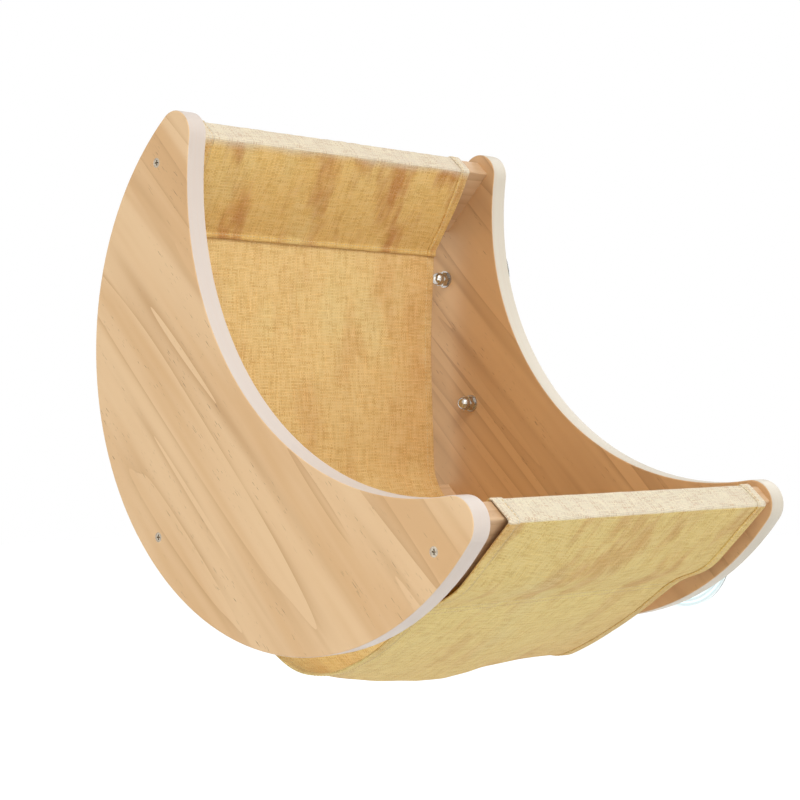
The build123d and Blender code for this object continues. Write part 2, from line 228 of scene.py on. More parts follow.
def pine_grain_group():
    """Sawn pine along its X axis: wide bands, fine rings, short dark pores and glued staves."""
    tree, given, out = group("pine_grain", [
        ("Vector", VECTOR, None), ("Stave Width", FLOAT, STAVE_WIDTH), ("Seed", FLOAT, 0.0),
    ], [(label, FLOAT) for label in ("Bands", "Rings", "Pores", "Joints", "Stave", "Height")])
    place = add(tree, "ShaderNodeSeparateXYZ", {"Vector": given.outputs["Vector"]}).outputs
    across = maths(tree, "DIVIDE", place["Y"], given.outputs["Stave Width"])
    number = maths(tree, "FLOOR", across)
    keyed = plus(tree, number, given.outputs["Seed"])
    stave = add(tree, "ShaderNodeTexWhiteNoise", {"W": keyed}, noise_dimensions="1D").outputs["Value"]
    shift = times(tree, stave, 3.7)
    moved = add(tree, "ShaderNodeCombineXYZ", {
        "X": plus(tree, place["X"], shift),
        "Y": plus(tree, place["Y"], times(tree, shift, 0.31)),
        "Z": plus(tree, place["Z"], given.outputs["Seed"])}).outputs[0]
    sway = stretched_noise(tree, moved, (2.2, 9.0, 9.0), 1.0)
    aside = add(tree, "ShaderNodeCombineXYZ", {"Y": times(tree, minus(tree, sway, 0.5), 0.022)}).outputs[0]
    swayed = add(tree, "ShaderNodeVectorMath", {0: moved, 1: aside}, operation="ADD").outputs[0]
    wide = stretched_noise(tree, swayed, (1.3, 62.0, 24.0), 3.0, 0.55)
    bands = step_mask(tree, wide, 0.36, 0.66)
    uneven = stretched_noise(tree, swayed, (0.8, 30.0, 30.0), 1.0)
    level = add(tree, "ShaderNodeSeparateXYZ", {"Vector": swayed}).outputs["Y"]
    counted = plus(tree, maths(tree, "DIVIDE", level, RING_SPACING), times(tree, uneven, 3.4))
    ring = maths(tree, "POWER", maths(tree, "FRACT", counted), 6.0)
    fade = step_mask(tree, stretched_noise(tree, moved, (5.0, 60.0, 60.0), 2.0), 0.30, 0.56)
    rings = times(tree, ring, fade)
    specks = stretched_noise(tree, swayed, (95.0, 1500.0, 1500.0), 1.0)
    sparse = step_mask(tree, stretched_noise(tree, swayed, (4.0, 75.0, 75.0), 1.0), 0.46, 0.64)
    pores = times(tree, step_mask(tree, specks, 0.685, 0.74), sparse)
    edge = maths(tree, "ABSOLUTE", minus(tree, maths(tree, "FRACT", across), 0.5))
    joints = step_mask(tree, edge, 0.4925, 0.4975)
    fibre = stretched_noise(tree, swayed, (20.0, 1100.0, 1100.0), 2.0)
    height = minus(tree, times(tree, fibre, 0.5), plus(tree, pores, joints))
    for label, value in (("Bands", bands), ("Rings", rings), ("Pores", pores), ("Joints", joints),
                         ("Stave", stave), ("Height", height)):
        tree.links.new(value, out.inputs[label])
    return tree


def linen_group():
    """A plain weave with uneven threads: X runs across the cloth and Y along it, in metres."""
    tree, given, out = group("linen_weave", [("Vector", VECTOR, None), ("Pitch", FLOAT, THREAD_PITCH)],
                             [(label, FLOAT) for label in ("Threads", "Slubs", "Holes", "Height")])
    flat = given.outputs["Vector"]
    bend = add(tree, "ShaderNodeTexNoise", {"Vector": flat, "Scale": 60.0, "Detail": 1.0}).outputs["Color"]
    wander = add(tree, "ShaderNodeVectorMath", {0: bend, 1: (0.5, 0.5, 0.5)}, operation="SUBTRACT").outputs[0]
    wander = scaled(tree, wander, THREAD_WANDER)
    moved = add(tree, "ShaderNodeVectorMath", {0: flat, 1: wander}, operation="ADD").outputs[0]
    place = add(tree, "ShaderNodeSeparateXYZ", {"Vector": moved}).outputs
    warp = maths(tree, "DIVIDE", place["X"], given.outputs["Pitch"])
    weft = maths(tree, "DIVIDE", place["Y"], given.outputs["Pitch"])
    tones, rounds = [], []
    for thread, along in ((warp, place["Y"]), (weft, place["X"])):
        index = maths(tree, "FLOOR", thread)
        key = add(tree, "ShaderNodeCombineXYZ", {"X": index, "Y": times(tree, along, 70.0)}).outputs[0]
        tones.append(noise_value(tree, key, 0.63, 2.0, 0.7))
        rounds.append(maths(tree, "SINE", times(tree, maths(tree, "FRACT", thread), math.pi)))
    both = plus(tree, maths(tree, "FLOOR", warp), maths(tree, "FLOOR", weft))
    over = maths(tree, "ABSOLUTE", maths(tree, "MODULO", both, 2.0))
    threads = add(tree, "ShaderNodeMix", {0: over, 2: tones[0], 3: tones[1]}, data_type="FLOAT").outputs[0]
    top = add(tree, "ShaderNodeMix", {0: over, 2: rounds[0], 3: rounds[1]}, data_type="FLOAT").outputs[0]
    lines = []
    for scale in ((560.0, 34.0, 1.0), (34.0, 560.0, 1.0)):
        lines.append(stretched_noise(tree, moved, scale, 3.0, 0.6))
    slubs = maths(tree, "MAXIMUM", *[step_mask(tree, line, 0.50, 0.74) for line in lines])
    low = [minus(tree, 1.0, value) for value in rounds]
    holes = times(tree, *low)
    height = plus(tree, times(tree, top, 0.7), times(tree, slubs, 0.45))
    for label, value in (("Threads", threads), ("Slubs", slubs), ("Holes", holes), ("Height", height)):
        tree.links.new(value, out.inputs[label])
    return tree


def handling_group():
    """Faint smudges and fine scratches of use, for metal and plastic."""
    tree, given, out = group("handling_marks", [("Vector", VECTOR, None), ("Scale", FLOAT, 60.0)], [
        ("Smudges", FLOAT), ("Scratches", FLOAT)])
    smudges = noise_value(tree, given.outputs["Vector"], given.outputs["Scale"], 4.0, 0.6)
    fine = stretched_noise(tree, given.outputs["Vector"], (1800.0, 120.0, 2400.0), 2.0)
    tree.links.new(step_mask(tree, smudges, 0.35, 0.7), out.inputs["Smudges"])
    tree.links.new(step_mask(tree, fine, 0.60, 0.72), out.inputs["Scratches"])
    return tree


PINE = pine_grain_group()
LINEN = linen_group()
HANDLING = handling_group()


# Materials

def pine(name, light, band, ring, edge_colour, along, seed,
         stave_width=STAVE_WIDTH, stave_shade=0.25, joint=0.45):
    """Oiled pine whose grain runs along one direction, paler on a board's edges (normal off the Y axis)."""
    material, tree, shader = new_material(name, Roughness=0.5, Specular_IOR_Level=0.35, Coat_Weight=0.06)
    coords = add(tree, "ShaderNodeTexCoord").outputs
    turned = add(tree, "ShaderNodeMapping", {"Vector": coords["Object"]}, vector_type="TEXTURE")
    turned.inputs["Rotation"].default_value = along
    grain = use(tree, PINE, {"Vector": turned.outputs[0], "Seed": seed, "Stave Width": stave_width})
    colour = blend_colours(tree, grain["Bands"], light, band)
    colour = tinted(tree, grain["Rings"], 0.85, colour, ring)
    colour = tinted(tree, grain["Stave"], stave_shade, colour, band)
    broad = noise_value(tree, coords["Object"], 5.0, 2.0)
    colour = tinted(tree, step_mask(tree, broad, 0.4, 0.75), 0.35, colour, light)
    dark = tuple(0.42 * value for value in ring)
    colour = tinted(tree, grain["Pores"], 0.8, colour, dark)
    colour = tinted(tree, grain["Joints"], joint, colour, dark)
    if edge_colour:
        facing = add(tree, "ShaderNodeSeparateXYZ", {"Vector": coords["Normal"]}).outputs["Y"]
        flat = maths(tree, "ABSOLUTE", facing)
        edge = minus(tree, 1.0, step_mask(tree, flat, 0.35, 0.93))
        end_bands = stretched_noise(tree, coords["Object"], (16.0, 700.0, 16.0), 2.0)
        pale = tinted(tree, step_mask(tree, end_bands, 0.45, 0.7), 0.07, edge_colour, band)
        pale = tinted(tree, grain["Joints"], 0.3, pale, band)
        colour = blend_colours(tree, edge, colour, pale)
    feed(tree, shader, "Base Color", colour)
    rough = plus(tree, 0.44, times(tree, grain["Bands"], 0.14))
    feed(tree, shader, "Roughness", rough)
    emboss(tree, shader, grain["Height"], 0.22, 0.0006)
    return material


INSIDE_GOLD = (0.91, 0.645, 0.255)
OUTSIDE_STRAW = (0.92, 0.75, 0.275)
FAR_ORANGE = (0.80, 0.43, 0.12)
# The sleeves' colour: painted shade where the cloth lies over wood
SLEEVE_SHADE_GOLD = (0.95, 0.62, 0.165)
PATCH_BROWN = (0.64, 0.25, 0.04)
STREAK_GREEN = (0.89, 0.74, 0.32)
# The folds' colour: a painted highlight
FOLD_HIGHLIGHT_CREAM = (0.87, 0.80, 0.66)
LIGHT_THREAD = (0.97, 0.84, 0.54)
DARK_THREAD = (0.62, 0.30, 0.075)


def woven_cloth():
    """Straw and gold slub linen with brown mottling: browner where it is doubled over wood (painted shade)
    than where it hangs free, and paler on the folds over the rails (painted highlight).
    """
    material, tree, shader = new_material("straw_gold_linen", Roughness=0.86, Sheen_Weight=0.12,
                                          Sheen_Roughness=0.5, Specular_IOR_Level=0.2)
    flat = add(tree, "ShaderNodeUVMap", uv_map="flat_cloth").outputs[0]
    painted_sleeve_shade, outside, painted_fold_highlight = (add(tree, "ShaderNodeAttribute", attribute_name=label).outputs["Fac"]
                              for label in ("painted_sleeve_shade", "outside", "painted_fold_highlight"))
    weave = use(tree, LINEN, {"Vector": flat, "Pitch": THREAD_PITCH})

    # The ground: gold inside, straw outside, orange along the window side, and a darker orange on the sleeves
    # that is painted shade where the cloth lies over wood
    base = blend_colours(tree, outside, INSIDE_GOLD, OUTSIDE_STRAW)
    from_room = add(tree, "ShaderNodeSeparateXYZ", {"Vector": flat}).outputs["X"]
    far_share = minus(tree, 0.5, times(tree, outside, 0.4))
    base = tinted(tree, step_mask(tree, from_room, 0.22, 0.33), far_share, base, FAR_ORANGE)
    # Painted shade: the sleeves turn a darker orange, where no light comes through the cloth from behind
    base = tinted(tree, painted_sleeve_shade, 0.75, base, SLEEVE_SHADE_GOLD)

    # Brown mottled patches, much stronger on the sleeves as painted shade; greenish streaks; and a painted
    # highlight on the folds over the rails
    patches = step_mask(tree, stretched_noise(tree, flat, (21.0, 8.5, 1.0), 3.0, 0.6), 0.48, 0.64)
    amount = times(tree, patches, plus(tree, 0.24, times(tree, painted_sleeve_shade, 0.66)))
    base = blend_colours(tree, amount, base, PATCH_BROWN)
    streaks = stretched_noise(tree, flat, (17.0, 9.0, 1.0), 2.0, shift=(3, 7, 0))
    base = tinted(tree, step_mask(tree, streaks, 0.5, 0.72), 0.38, base, STREAK_GREEN)
    # Painted highlight: the folds over the rails pale towards cream, broken up by the streaks
    fold_highlight_mask = plus(tree, painted_fold_highlight, times(tree, minus(tree, streaks, 0.5), 0.9))
    base = tinted(tree, step_mask(tree, fold_highlight_mask, 0.1, 0.9), 0.9, base, FOLD_HIGHLIGHT_CREAM)

    # The threads' own tones, and the gaps between them
    bright = step_mask(tree, weave["Threads"], 0.34, 0.68)
    base = tinted(tree, bright, 0.26, base, LIGHT_THREAD)
    dark = minus(tree, 1.0, step_mask(tree, weave["Threads"], 0.28, 0.52))
    base = tinted(tree, dark, 0.42, base, DARK_THREAD)
    light = plus(tree, times(tree, bright, 0.08), times(tree, weave["Slubs"], 0.10))
    light = plus(tree, plus(tree, light, times(tree, weave["Holes"], -0.45)), 0.98)
    base = scaled(tree, base, light)
    feed(tree, shader, "Base Color", base)
    emboss(tree, shader, weave["Height"], 0.55, 0.0006)
    through = add(tree, "ShaderNodeBsdfTranslucent", {"Color": base})
    mixed = add(tree, "ShaderNodeMixShader", {0: 0.18, 1: shader.outputs[0], 2: through.outputs[0]})
    tree.links.new(mixed.outputs[0], tree.nodes["Material Output"].inputs["Surface"])
    return material


def sewing_thread():
    """Twisted ochre thread."""
    material, tree, shader = new_material("ochre_sewing_thread", Roughness=0.7, Sheen_Weight=0.2)
    coords = add(tree, "ShaderNodeTexCoord").outputs["Object"]
    twist = noise_value(tree, coords, 2600.0, 2.0)
    colour = blend_colours(tree, step_mask(tree, twist, 0.35, 0.65), (0.62, 0.40, 0.14), (0.86, 0.68, 0.38))
    feed(tree, shader, "Base Color", colour)
    emboss(tree, shader, twist, 0.4, 0.0002)
    return material


def metal(name, colour, dull, rough, smudged, scale=90.0):
    """Plated steel with faint smudges and scratches."""
    material, tree, shader = new_material(name, Metallic=1.0)
    coords = add(tree, "ShaderNodeTexCoord").outputs["Object"]
    marks = use(tree, HANDLING, {"Vector": coords, "Scale": scale})
    tint = tinted(tree, marks["Smudges"], 0.6, colour, dull)
    feed(tree, shader, "Base Color", tint)
    value = plus(tree, rough, times(tree, marks["Smudges"], smudged - rough))
    feed(tree, shader, "Roughness", value)
    emboss(tree, shader, marks["Scratches"], 0.12, 0.00005)
    return material


def clear_plastic():
    """Soft clear plastic with a faint blue-green tint and the mould's fine rings about each cup's axis."""
    material, tree, shader = new_material("clear_soft_plastic", IOR=1.42, Transmission_Weight=1.0,
                                          Coat_Weight=0.4, Coat_Roughness=0.05)
    coords = add(tree, "ShaderNodeTexCoord").outputs
    own = add(tree, "ShaderNodeSeparateXYZ", {"Vector": coords["Generated"]}).outputs
    aside = [minus(tree, own[axis], 0.5) for axis in ("X", "Z")]
    radius = maths(tree, "SQRT", plus(tree, *[times(tree, value, value) for value in aside]))
    rings = maths(tree, "SINE", times(tree, radius, 2 * math.pi * 26.0))
    ring_mask = step_mask(tree, rings, 0.35, 0.95)
    marks = use(tree, HANDLING, {"Vector": coords["Object"], "Scale": 45.0})
    tint = tinted(tree, ring_mask, 0.5, (0.84, 0.955, 0.965), (0.66, 0.88, 0.91))
    feed(tree, shader, "Base Color", tint)
    rough = plus(tree, 0.06, times(tree, marks["Smudges"], 0.12))
    feed(tree, shader, "Roughness", rough)
    emboss(tree, shader, rings, 0.35, 0.0006)
    return material


GRAIN_TURN = (0, math.radians(45), 0)
RAIL_TURN = (0, 0, math.radians(90))
PANEL_PINE = pine("oiled_pine_panel", light=(0.785, 0.545, 0.305), band=(0.665, 0.41, 0.195),
                  ring=(0.52, 0.30, 0.13), edge_colour=(0.64, 0.56, 0.50), along=GRAIN_TURN, seed=2.0)
# The window-side panel: the same pine in darker, browner colours, which are painted shade inside the hammock;
# its narrower staves and darker joints are its own
SHADED_FAR_PINE = pine("oiled_pine_window_panel_painted_shade", light=(0.66, 0.405, 0.20), band=(0.55, 0.32, 0.15),
                ring=(0.38, 0.21, 0.09), edge_colour=(0.63, 0.575, 0.475), along=GRAIN_TURN, seed=11.0,
                stave_width=0.034, stave_shade=0.4, joint=0.9)
RAIL_PINE = pine("oiled_pine_rail", light=(0.68, 0.47, 0.28), band=(0.56, 0.355, 0.195),
                 ring=(0.43, 0.25, 0.12), edge_colour=None, along=RAIL_TURN, seed=5.0, stave_width=0.2)
BEECH = pine("plain_beech", light=(0.66, 0.44, 0.27), band=(0.56, 0.36, 0.20),
             ring=(0.45, 0.27, 0.14), edge_colour=None, along=RAIL_TURN, seed=9.0, stave_width=0.2)
LINEN_CLOTH = woven_cloth()
THREAD = sewing_thread()
ZINC = metal("zinc_plated_screw", (0.47, 0.41, 0.32), (0.25, 0.21, 0.16), 0.3, 0.5, 400.0)
STUD_METAL = metal("zinc_plated_stud", (0.60, 0.60, 0.60), (0.42, 0.42, 0.42), 0.25, 0.4)
BRIGHT_NICKEL = metal("bright_nickel_nut", (0.56, 0.53, 0.48), (0.38, 0.35, 0.31), 0.14, 0.30)
DULL_NICKEL = metal("dull_nickel_washer", (0.56, 0.54, 0.52), (0.36, 0.33, 0.31), 0.25, 0.42)
CLEAR = clear_plastic()


FINISHES = (("room_side_panel", PANEL_PINE), ("window_side_panel", SHADED_FAR_PINE), ("_rail", RAIL_PINE),
            ("_dowels", BEECH), ("_screws", ZINC), ("_stud", STUD_METAL), ("_cap_nut", BRIGHT_NICKEL),
            ("_washer", DULL_NICKEL), ("_suction_cup", CLEAR))


def finish_for(name):
    """The finish that a frame node of this name gets."""
    for ending, material in FINISHES:
        if name.endswith(ending):
            return material
    return LINEN_CLOTH


for name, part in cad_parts.items():
    part.data.materials.clear()
    part.data.materials.append(finish_for(name))


# Sling: its route, seen along Y, from the top sleeve's hem to the front sleeve's hem

def polar(radius, degrees):
    turn = math.radians(degrees)
    return Vector((radius * math.cos(turn), radius * math.sin(turn)))


RAIL_TURNS = {"top": (135, 45), "back": (225, -45), "front": (315, 45)}


def on_rail(name, out, along):
    """A point (x, z) off the middle of a rail: outwards from the crescent's centre, and along the width."""
    low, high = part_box(f"{name}_rail")
    radial, width = RAIL_TURNS[name]
    return Vector(((low[0] + high[0]) / 2, (low[2] + high[2]) / 2)) + polar(out, radial) + polar(along, width)


def top_sleeve():
    """The corners round the top rail: the lap, up the sleeve's front, over the rail and down to the seam."""
    half, face = RAIL_WIDTH / 2, RAIL_THICKNESS / 2
    seam = on_rail("top", -face - TOP_SLACK, -half - TOP_SEAM_DROP)
    lap = Vector((SEAM_GAP, 0))
    rim = on_rail("top", -face - CLOTH_OFF, half + CLOTH_OFF)
    fold = RAIL_ROUND + CLOTH_OFF
    return [
        (seam + lap - Vector((0, SEAM_LAP)), SOFT),
        (seam + lap, SOFT),
        (seam.lerp(rim, 0.30) + lap * 2, SOFT),
        (seam.lerp(rim, 0.66) + lap * 2, SOFT),
        (rim, fold),
        (on_rail("top", face + CLOTH_OFF, half + CLOTH_OFF), fold),
        (on_rail("top", face + CLOTH_OFF, -half - CLOTH_OFF), fold),
        (seam, SEAM_BEND),
    ]


def front_sleeve():
    """The corners round the front rail: the seam, up the outside, over the rail and down to the lap."""
    half, face = RAIL_WIDTH / 2, RAIL_THICKNESS / 2
    outside = face + FRONT_STANDOFF
    seam = on_rail("front", face - FRONT_SEAM_INSET, -half - FRONT_SEAM_DROP)
    hem = seam + Vector((-1, 2)).normalized() * 2 * SEAM_GAP
    fold = RAIL_ROUND + CLOTH_OFF
    return [
        (seam, SOFT),
        (on_rail("front", outside, -half - 3 * CLOTH_OFF), SOFT),
        (on_rail("front", outside, half + 2 * CLOTH_OFF), fold),
        (on_rail("front", -face - CLOTH_OFF, half + CLOTH_OFF), fold),
        (on_rail("front", -face - CLOTH_OFF, -half - CLOTH_OFF), SEAM_BEND),
        (hem, SOFT),
        (hem + Vector((-2, -1)).normalized() * SEAM_LAP, SOFT),
    ]


def hanging_sheet(across, seam_top, seam_front):
    """The corners between the seams: the wall, the back rail and the bag, whose two edges hang higher."""
    half, face = RAIL_WIDTH / 2, RAIL_THICKNESS / 2
    upper = on_rail("back", -face - 2.5 * CLOTH_OFF, -half)
    lower = on_rail("back", -face - 2.5 * CLOTH_OFF, half)
    drop = seam_top.y - upper.y
    near, far = max(0.0, -across), max(0.0, across)
    lift = NEAR_EDGE_LIFT * near**2 + FAR_EDGE_LIFT * far**2 + FAR_FOLD_LIFT * far * (1 - far**2)
    run = seam_front.x - lower.x
    wall = [Vector((upper.x - CLOTH_OFF, upper.y + drop * 0.66)),
            Vector((upper.x + CLOTH_OFF, upper.y + drop * 0.2))]
    bag = [Vector((lower.x + place * run, lower.y - depth * BAG_DEPTH + share * lift))
           for place, depth, share in BAG_POINTS]
    return [(point, SOFT) for point in [*wall, upper, lower, *bag]]


def corners(across):
    """The route's corners at a place across the cloth, as (point, arc start, arc end, arc centre, radius)."""
    top, front = top_sleeve(), front_sleeve()
    route = top + hanging_sheet(across, top[-1][0], front[0][0]) + front
    found = [(route[0][0],) * 3 + (None, 0.0)]
    for (before, _), (point, radius), (after, _) in zip(route, route[1:], route[2:]):
        back, on = before - point, after - point
        half = back.angle(on) / 2
        if radius is SOFT:
            radius = SOFT_REACH * min(back.length, on.length) * math.tan(half)
        back.normalize()
        on.normalize()
        reach = radius / math.tan(half)
        centre = point + (back + on).normalized() * radius / math.sin(half)
        found.append((point, point + back * reach, point + on * reach, centre, radius))
    found.append((route[-1][0],) * 3 + (None, 0.0))
    return found


def steps_between():
    """How many grid steps each arc and each straight run of the route gets, from the middle of the cloth."""
    found = corners(0.0)
    arcs, runs = [], []
    for (_, start, end, centre, radius), (_, following, *_) in zip(found, found[1:]):
        bend = (start - centre).angle(end - centre) * radius if centre else 0
        arcs.append(max(5, round(bend / GRID_STEP)) if centre else 0)
        runs.append(max(1, round((following - end).length / GRID_STEP)))
    return arcs, runs


ARC_STEPS, RUN_STEPS = steps_between()


def cloth_line(across):
    """Points (x, z) down the cloth at a place across it, and each corner's row."""
    found = corners(across)
    points, rows = [], []
    spans = zip(found, found[1:], ARC_STEPS, RUN_STEPS)
    for (_, start, end, centre, radius), (_, following, *_), arc, run in spans:
        rows.append(len(points) + arc // 2)
        for i in range(arc):
            chord = start.lerp(end, i / arc) - centre
            points.append(centre + chord.normalized() * radius)
        points += [end.lerp(following, i / run) for i in range(run)]
    points.append(found[-1][0])
    rows.append(len(points) - 1)
    return points, rows


CORNER_ROWS = cloth_line(0.0)[1]
TOP_SEAM_FRONT, TOP_FOLD_IN, TOP_FOLD_OUT, TOP_LOW, TOP_SEAM = (CORNER_ROWS[i] for i in (1, 4, 5, 6, 7))
BACK_UPPER, BACK_LOWER = CORNER_ROWS[10], CORNER_ROWS[11]
FRONT_SEAM, FRONT_FOLD_OUT = CORNER_ROWS[-7], CORNER_ROWS[-5]
FRONT_FOLD_IN, FRONT_LOW, FRONT_LAP = CORNER_ROWS[-4], CORNER_ROWS[-3], CORNER_ROWS[-2]


def hump(row, first, last):
    """0 at and outside two rows, 1 half way between them."""
    if not first < row < last:
        return 0.0
    return math.sin(math.pi * (row - first) / (last - first)) ** 0.8


def wave(x, y, seed):
    """Smooth noise from about -1 to 1, the same at each run."""
    return noise.noise(Vector((x, y, seed)))


# Folds of the sleeves as (first row, last row, height, waves a metre (across, along) in x and in y, seed)
OUTWARD_WAVES = (
    (TOP_SEAM_FRONT, TOP_FOLD_IN, 0.0034, (30, 5), 4, 3.1),
    (TOP_FOLD_IN - 3, TOP_FOLD_OUT + 3, 0.0019, (62, 0), 55, 8.0),
    (TOP_FOLD_OUT, TOP_LOW, 0.0012, (24, 0), 8, 5.0),
    (FRONT_SEAM, FRONT_FOLD_OUT, 0.0030, (20, -7), 6, 1.7),
    (FRONT_FOLD_OUT - 3, FRONT_FOLD_IN + 3, 0.0007, (55, 0), 30, 4.0),
)


def ripple(row, across_m, along_m):
    """How far the cloth leaves its plain route, to the left of its direction: into the bag or a sleeve."""
    value = 0.0
    for first, last, height, (x_across, x_along), y_along, seed in OUTWARD_WAVES:
        folds = abs(wave(across_m * x_across + along_m * x_along, along_m * y_along, seed))
        value -= hump(row, first, last) * height * folds
    value += hump(row, TOP_SEAM, BACK_UPPER) * 0.0034 * wave(across_m * 11 + along_m * 3, along_m * 3.2, 6.3)
    value += hump(row, BACK_UPPER - 8, BACK_LOWER + 8) * 0.0012 * abs(wave(across_m * 22, along_m * 6, 2.2))
    bag = hump(row, BACK_LOWER, FRONT_SEAM)
    value += bag * 0.0015 * wave(across_m * 13 - along_m * 4, along_m * 5.0, 9.4)
    value += bag * 0.0007 * wave(across_m * 40 + along_m * 9, along_m * 14, 7.7)
    for seam in (TOP_SEAM, FRONT_SEAM):
        near_seam = math.exp(-((row - seam) / 6.0) ** 2)
        side = 1 if seam == FRONT_SEAM else -1
        value += side * near_seam * 0.0007 * wave(across_m * 70, seam, 2.9) * (row != seam)
    return value


# Sling: the sheet, with a folded hem down each side

def across_profile():
    """Places across the cloth as (share of the width, offset to the right): a hem, the sheet, a hem."""
    hem = HEM_WIDTH / CLOTH_WIDTH * 2
    fold = HEM_OFFSET / 2 / (CLOTH_WIDTH / 2)
    layer = [(hem * (1 - i / 4), HEM_OFFSET) for i in range(4)]
    turns = (0, math.pi / 4, math.pi / 2, math.pi * 3 / 4)
    bend = [(fold * (1 - math.sin(turn)), HEM_OFFSET / 2 * (1 + math.cos(turn))) for turn in turns]
    start = [(place - 1, offset) for place, offset in layer + bend]
    sheet = [(-1 + fold + (2 - 2 * fold) * i / (COLUMNS - 1), 0.0) for i in range(COLUMNS)]
    return start + sheet + [(-place, offset) for place, offset in reversed(start)]


pane_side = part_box("window_side_panel")[0][1]
room_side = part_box("room_side_panel")[1][1]
CLOTH_WIDTH = pane_side - room_side - NEAR_GAP - FAR_GAP
CLOTH_MIDDLE = room_side + NEAR_GAP + (CLOTH_WIDTH + SKEW) / 2
RAIL_RADIUS = on_rail("back", 0, 0).length
ASIDE = polar(1, -45)


def lie(point, across):
    """The place in space of a route's point at a share across the cloth. The cloth lies slightly askew."""
    y = CLOTH_MIDDLE + across * CLOTH_WIDTH / 2 + SKEW / (2 * RAIL_RADIUS) * point.dot(ASIDE)
    return Vector((point.x, y, point.y))


class Cloth:
    """The sheet's grid: its columns of points, their left-hand normals and the flat length at each row."""

    def __init__(self):
        self.cache = {}

    def column(self, across):
        """The points, normals and flat lengths down the cloth at a share across it."""
        across = max(-1.0, min(1.0, across))
        key = round(across, 6)
        if key not in self.cache:
            line, _ = cloth_line(across)
            lengths = [0.0]
            for a, b in zip(line, line[1:]):
                lengths.append(lengths[-1] + (b - a).length)
            points, normals = [], []
            for row, point in enumerate(line):
                ahead = line[min(row + 1, len(line) - 1)] - line[max(row - 1, 0)]
                ahead.normalize()
                left = Vector((-ahead.y, ahead.x))
                points.append(point + left * ripple(row, across * CLOTH_WIDTH / 2, lengths[row]))
                normals.append(left)
            self.cache[key] = points, normals, lengths
        return self.cache[key]

    def place(self, row, across, to_right):
        """A point at a row and a share across, moved to the right of the cloth's direction."""
        points, normals, _ = self.column(across)
        return lie(points[row] - normals[row] * to_right, across)


CLOTH = Cloth()


def mesh_object(name, vertices, faces, material, smooth=True):
    mesh = bpy.data.meshes.new(name)
    mesh.from_pydata(vertices, [], faces)
    mesh.update()
    mesh.materials.append(material)
    if smooth:
        mesh.shade_smooth()
    thing = bpy.data.objects.new(name, mesh)
    bpy.context.scene.collection.objects.link(thing)
    return thing


def painted_sleeve_shade_at(row):
    """Painted shade on the sleeves: 1 where the cloth lies in front of a rail as a sleeve, 0 where it hangs
    free.
    """
    if row <= TOP_SEAM or row >= FRONT_LOW:
        return 1.0
    return 0.35 if row >= FRONT_SEAM else 0.0


def painted_fold_highlight_at(row):
    """A painted highlight: 1 on the folds over the rails' upper edges, 0 a few rows away from them."""
    first, last, reach = TOP_FOLD_IN, TOP_FOLD_OUT, 4.5
    if row >= BACK_UPPER:
        first, last, reach = FRONT_FOLD_OUT, FRONT_FOLD_IN, 2.0
    beyond = max(first - row, row - last, 0)
    return max(0.0, 1.0 - beyond / reach)


def build_sheet():
    """The sling's sheet, and its flat width and length in metres."""
    profile = across_profile()
    rows = len(CLOTH.column(0.0)[0])
    vertices, flat, painted_sleeve_shade, outside, painted_fold_highlight = [], [], [], [], []
    walked, previous = 0.0, None
    for place, offset in profile:
        _, _, lengths = CLOTH.column(place)
        spot = Vector((place * CLOTH_WIDTH / 2, offset))
        walked += (spot - previous).length if previous else 0.0
        previous = spot
        for row in range(rows):
            vertices.append(CLOTH.place(row, place, offset))
            flat.append((walked, lengths[row]))
            painted_sleeve_shade.append(painted_sleeve_shade_at(row))
            share = (row - BACK_LOWER) / (FRONT_SEAM - BACK_LOWER)
            outside.append(max(0.0, min(1.0, share)))
            painted_fold_highlight.append(painted_fold_highlight_at(row))
    faces = []
    for column in range(len(profile) - 1):
        for row in range(rows - 1):
            a = column * rows + row
            faces.append((a, a + rows, a + rows + 1, a + 1))
    sheet = mesh_object("woven_sling", vertices, faces, LINEN_CLOTH)
    layer = sheet.data.uv_layers.new(name="flat_cloth")
    for loop in sheet.data.loops:
        layer.data[loop.index].uv = flat[loop.vertex_index]
    for label, values in (("painted_sleeve_shade", painted_sleeve_shade), ("outside", outside), ("painted_fold_highlight", painted_fold_highlight)):
        attribute = sheet.data.attributes.new(label, "FLOAT", "POINT")
        attribute.data.foreach_set("value", values)
    solid = sheet.modifiers.new("cloth_thickness", "SOLIDIFY")
    solid.thickness = CLOTH_THICKNESS
    solid.offset = 0
    return sheet, walked, CLOTH.column(0.0)[2][-1]


def stitch(vertices, faces, start, end, up):
    """One stitch: a short spindle half sunk in the cloth, from start to end."""
    along = (end - start).normalized()
    aside = along.cross(up).normalized()
    first, sides = len(vertices), STITCH_SIDES
    for share, size in STITCH_RINGS:
        middle = start.lerp(end, share)
        for i in range(sides):
            turn = 2 * math.pi * i / sides
            vertices.append(middle + (aside * math.cos(turn) + up * math.sin(turn)) * STITCH_RADIUS * size)
    last = first + (len(STITCH_RINGS) - 1) * sides
    for ring in range(first, last, sides):
        for i in range(sides):
            a, b = ring + i, ring + (i + 1) % sides
            faces.append((a, b, b + sides, a + sides))
    faces.append(tuple(first + i for i in reversed(range(sides))))
    faces.append(tuple(last + i for i in range(sides)))


def seam_path(row, to_right):
    """Points across the cloth along one row, on one of its faces."""
    return [CLOTH.place(row, SEAM_SHARE * (2 * i / SEAM_STEPS - 1), to_right) for i in range(SEAM_STEPS + 1)]


def hem_path(across, to_right, first, last):
    """Points down the cloth from one row to another."""
    return [CLOTH.place(row, across, to_right) for row in range(first, last + 1)]


